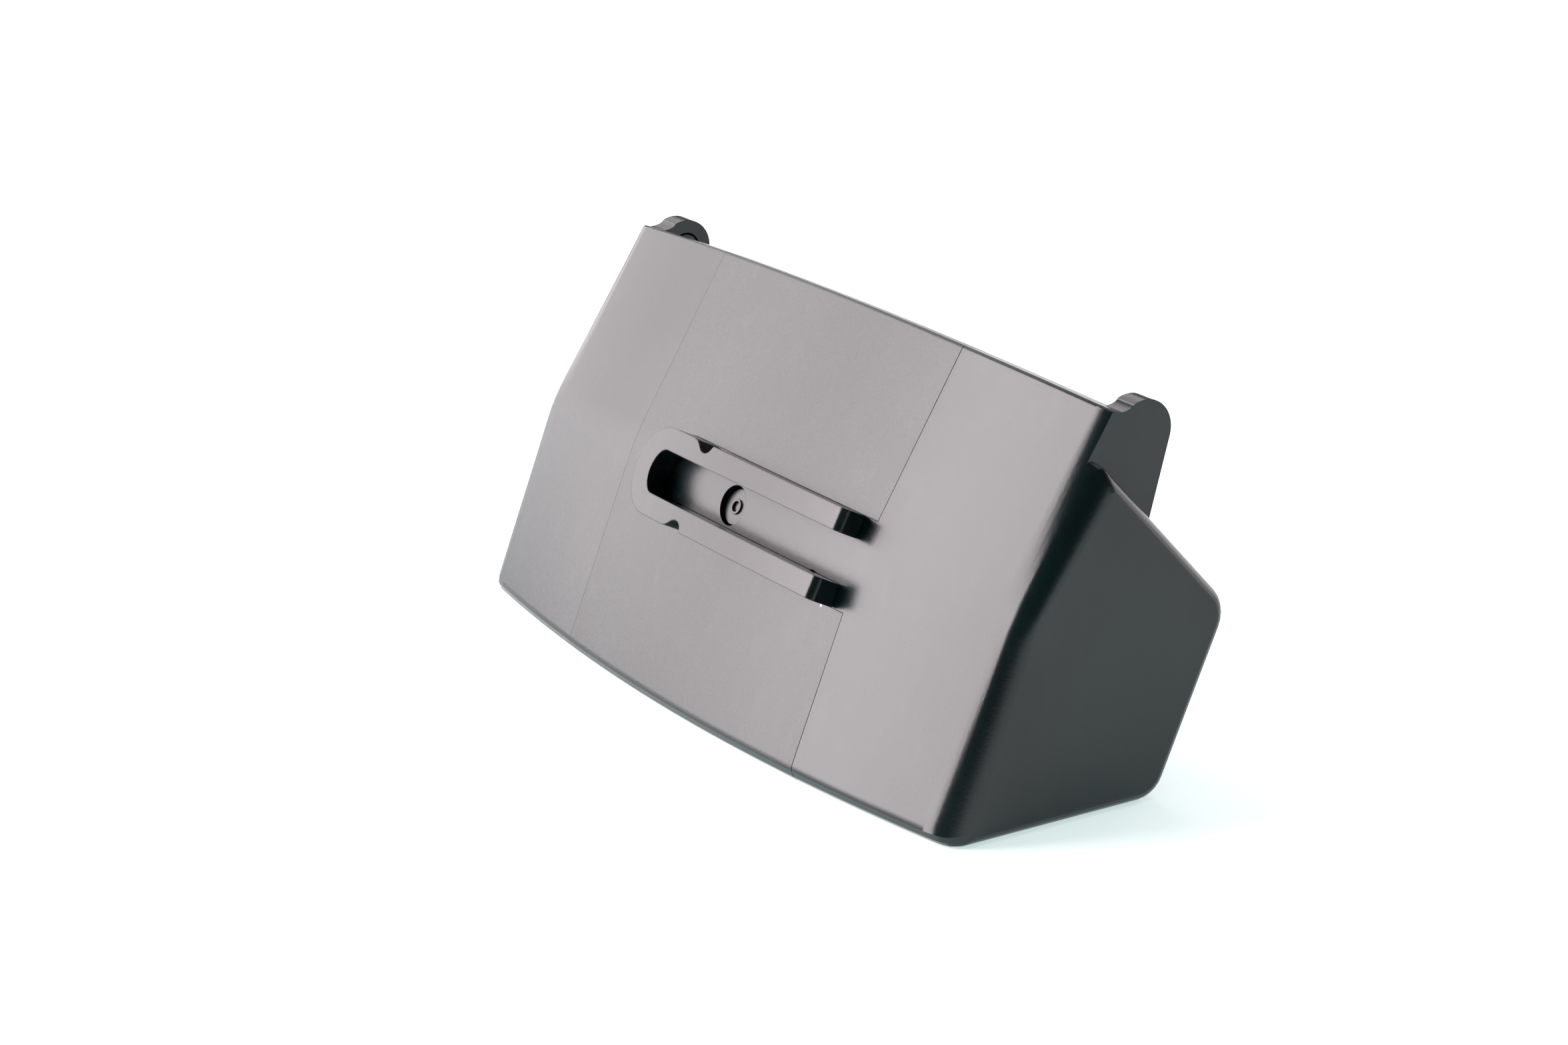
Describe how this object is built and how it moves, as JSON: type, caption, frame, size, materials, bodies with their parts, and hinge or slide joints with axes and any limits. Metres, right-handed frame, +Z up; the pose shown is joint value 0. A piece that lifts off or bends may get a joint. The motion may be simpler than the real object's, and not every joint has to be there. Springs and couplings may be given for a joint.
{
  "type": "accessory mounting block",
  "caption": "Wedge-shaped moulded mounting block with a bowed front, a U-shaped slide-on rail with detent notches, and two pivot ears at the upper rear corners.",
  "frame": {"origin": "centre of the bounding box's bottom face, in the plane of the base", "axes": "+X along the width, +Y from the face to the rear, +Z up, with the base level"},
  "size_m": [0.12, 0.049, 0.0567],
  "materials": {
    "housing_plastic": "black moulded plastic with a fine spark-eroded grain",
    "panel_plastic": "black moulded plastic, grain slightly coarser",
    "rail_plastic": "black moulded plastic, smoother",
    "cover_plastic": "black moulded plastic with a fine grain",
    "acetal": "black acetal, satin",
    "zinc_steel": "bright zinc plate",
    "plate_steel": "plain sheet steel",
    "brass": "turned brass"
  },
  "bodies": {
    "block": {"backing_plate": "plate_steel", "centre_panel": "panel_plastic", "cover_insert_1": "brass", "cover_insert_2": "brass", "cover_insert_3": "brass", "cover_insert_4": "brass", "cover_screw_1": "zinc_steel", "cover_screw_2": "zinc_steel", "cover_screw_3": "zinc_steel", "cover_screw_4": "zinc_steel", "housing": "housing_plastic", "lock_pin_push_nut": "zinc_steel", "panel_screw_1": "zinc_steel", "panel_screw_2": "zinc_steel", "panel_screw_3": "zinc_steel", "panel_screw_4": "zinc_steel", "rail_lock_pin": "acetal", "rail_screw_1": "zinc_steel", "rail_screw_2": "zinc_steel", "rail_screw_3": "zinc_steel", "rail_screw_4": "zinc_steel", "rear_cover": "cover_plastic", "slide_rail": "rail_plastic"},
    "bush_left": {"pivot_bush_left": "acetal"},
    "bush_right": {"pivot_bush_right": "acetal"}
  },
  "joints": [
    {"name": "bush_left_turn", "type": "hinge", "parent": "block", "child": "bush_left", "pos_m": [-0.0549, 0.01184, 0.05009], "axis": [1, 0, 0], "range_deg": [-10, 60]},
    {"name": "bush_right_turn", "type": "hinge", "parent": "block", "child": "bush_right", "pos_m": [0.0549, 0.01184, 0.05009], "axis": [1, 0, 0], "range_deg": [-10, 60]}
  ],
  "couplings": [
    {"joint": "bush_right_turn", "follows": "bush_left_turn", "ratio": 1}
  ]
}
